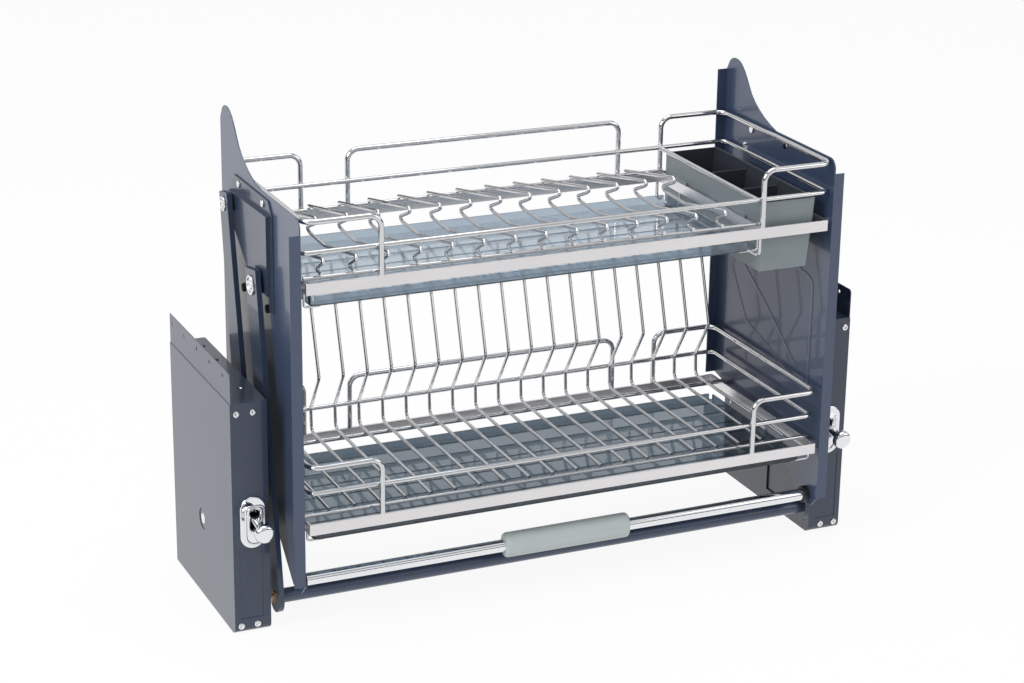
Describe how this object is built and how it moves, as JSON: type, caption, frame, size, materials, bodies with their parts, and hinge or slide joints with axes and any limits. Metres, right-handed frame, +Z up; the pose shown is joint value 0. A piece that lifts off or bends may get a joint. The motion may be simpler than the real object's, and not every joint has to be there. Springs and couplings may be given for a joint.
{
  "type": "pull-down dish rack",
  "caption": "Pull-down dish rack for a wall cabinet: a shelf basket with plate wires, bowl wires, cutlery box and drip trays swings down on parallel arms from side housings.",
  "frame": {"origin": "centre of the bounding box in plan, at the bottom of the housings", "axes": "+X along the rack to the user's right, +Y from the user to the wall, +Z up"},
  "size_m": [0.864, 0.3047, 0.617],
  "materials": {
    "housing_coat": "satin powder coat, dark blue-grey",
    "panel_coat": "satin powder coat, blue-grey",
    "chrome": "bright chrome plating",
    "stainless_bar": "polished stainless flat bar",
    "stainless_wire": "polished stainless wire",
    "steel": "plain steel",
    "clear_plastic": "translucent pale blue plastic",
    "cutlery_grey": "grey moulded plastic",
    "grip_silver": "pale silver-grey plastic",
    "dark_plastic": "black plastic",
    "rubber": "black rubber",
    "brass": "plain brass",
    "white_plastic": "white plastic",
    "webbing": "woven strap"
  },
  "bodies": {
    "housings": {"mounting_plate_left": "housing_coat", "mounting_plate_right": "housing_coat", "housing_shell_left": "housing_coat", "housing_shell_right": "housing_coat", "housing_cover_left": "housing_coat", "housing_cover_right": "housing_coat", "escutcheons": "chrome", "housing_screws": "chrome", "housing_plugs": "white_plastic", "lever_pins": "steel", "front_pivot_pins": "steel", "spring_anchors": "steel", "damper_bodies": "dark_plastic"},
    "front_arms": {"front_arm_left": "housing_coat", "front_arm_right": "housing_coat", "arm_bushes": "brass", "sync_tube": "panel_coat"},
    "rear_arm_left": {"rear_arm_left": "housing_coat", "rear_axle_left": "steel"},
    "rear_arm_right": {"rear_arm_right": "housing_coat", "rear_axle_right": "steel"},
    "carriage_left": {"spring_carriage_left": "steel", "balance_spring_left": "steel", "pull_strap_left": "webbing"},
    "carriage_right": {"spring_carriage_right": "steel", "balance_spring_right": "steel", "pull_strap_right": "webbing"},
    "lever_left": {"force_lever_left": "chrome"},
    "lever_right": {"force_lever_right": "chrome"},
    "basket": {"side_panel_left": "panel_coat", "side_panel_right": "panel_coat", "arm_bracket_left": "housing_coat", "arm_bracket_right": "housing_coat", "pivot_bolts": "chrome", "pivot_spacers": "dark_plastic", "rubber_bumpers": "rubber", "basket_fixings": "chrome", "handle_bushes": "dark_plastic", "handle_bar": "chrome", "handle_grip": "grip_silver", "upper_frame": "stainless_bar", "lower_frame": "stainless_bar", "upper_guard_left": "stainless_wire", "upper_guard_right": "stainless_wire", "upper_guard_rear": "stainless_wire", "lower_guard_left": "stainless_wire", "lower_guard_right": "stainless_wire", "lower_guard_rear": "stainless_wire", "upper_ring": "stainless_wire", "lower_ring": "stainless_wire", "upper_cross_rods": "stainless_wire", "lower_cross_rods": "stainless_wire", "upper_bowl_wires": "stainless_wire", "lower_floor_wires": "stainless_wire", "lower_rack_wires": "stainless_wire", "cutlery_cradle": "stainless_wire", "tray_hooks": "stainless_wire"},
    "upper_tray": {"upper_drip_tray": "clear_plastic"},
    "lower_tray": {"lower_drip_tray": "clear_plastic"},
    "cutlery": {"cutlery_box": "cutlery_grey"}
  },
  "joints": [
    {"name": "swing", "type": "hinge", "parent": "housings", "child": "front_arms", "pos_m": [0, -0.0857, 0.0395], "axis": [1, 0, 0], "range_deg": [0, 100]},
    {"name": "basket_level", "type": "hinge", "parent": "front_arms", "child": "basket", "pos_m": [0, -0.02091, 0.42793], "axis": [1, 0, 0], "range_deg": [-100, 0]},
    {"name": "rear_arm_left_swing", "type": "hinge", "parent": "housings", "child": "rear_arm_left", "pos_m": [-0.37465, 0.0158, 0.1145], "axis": [1, 0, 0], "range_deg": [0, 100]},
    {"name": "carriage_left_travel", "type": "slide", "parent": "housings", "child": "carriage_left", "axis": [0, 0, -1], "range_m": [0, 0.0436], "deforming": ["balance_spring_left", "pull_strap_left"]},
    {"name": "force_lever_left_tilt", "type": "hinge", "parent": "housings", "child": "lever_left", "pos_m": [-0.4045, -0.0579, 0.1585], "axis": [1, 0, 0], "range_deg": [-9, 12]},
    {"name": "rear_arm_right_swing", "type": "hinge", "parent": "housings", "child": "rear_arm_right", "pos_m": [0.37465, 0.0158, 0.1145], "axis": [1, 0, 0], "range_deg": [0, 100]},
    {"name": "carriage_right_travel", "type": "slide", "parent": "housings", "child": "carriage_right", "axis": [0, 0, -1], "range_m": [0, 0.0436], "deforming": ["balance_spring_right", "pull_strap_right"]},
    {"name": "force_lever_right_tilt", "type": "hinge", "parent": "housings", "child": "lever_right", "pos_m": [0.4045, -0.0579, 0.1585], "axis": [1, 0, 0], "range_deg": [-9, 12]},
    {"name": "upper_tray_slide", "type": "slide", "parent": "basket", "child": "upper_tray", "axis": [0, -1, 0], "range_m": [0, 0.15]},
    {"name": "lower_tray_slide", "type": "slide", "parent": "basket", "child": "lower_tray", "axis": [0, -1, 0], "range_m": [0, 0.15]},
    {"name": "cutlery_box_lift", "type": "slide", "parent": "basket", "child": "cutlery", "axis": [0, 0, 1], "range_m": [0, 0.06]}
  ],
  "couplings": [
    {"joint": "basket_level", "follows": "swing", "ratio": -1},
    {"joint": "rear_arm_left_swing", "follows": "swing", "ratio": 1},
    {"joint": "carriage_left_travel", "follows": "swing", "m_per_rad": 0.0249},
    {"joint": "rear_arm_right_swing", "follows": "swing", "ratio": 1},
    {"joint": "carriage_right_travel", "follows": "swing", "m_per_rad": 0.0249}
  ]
}
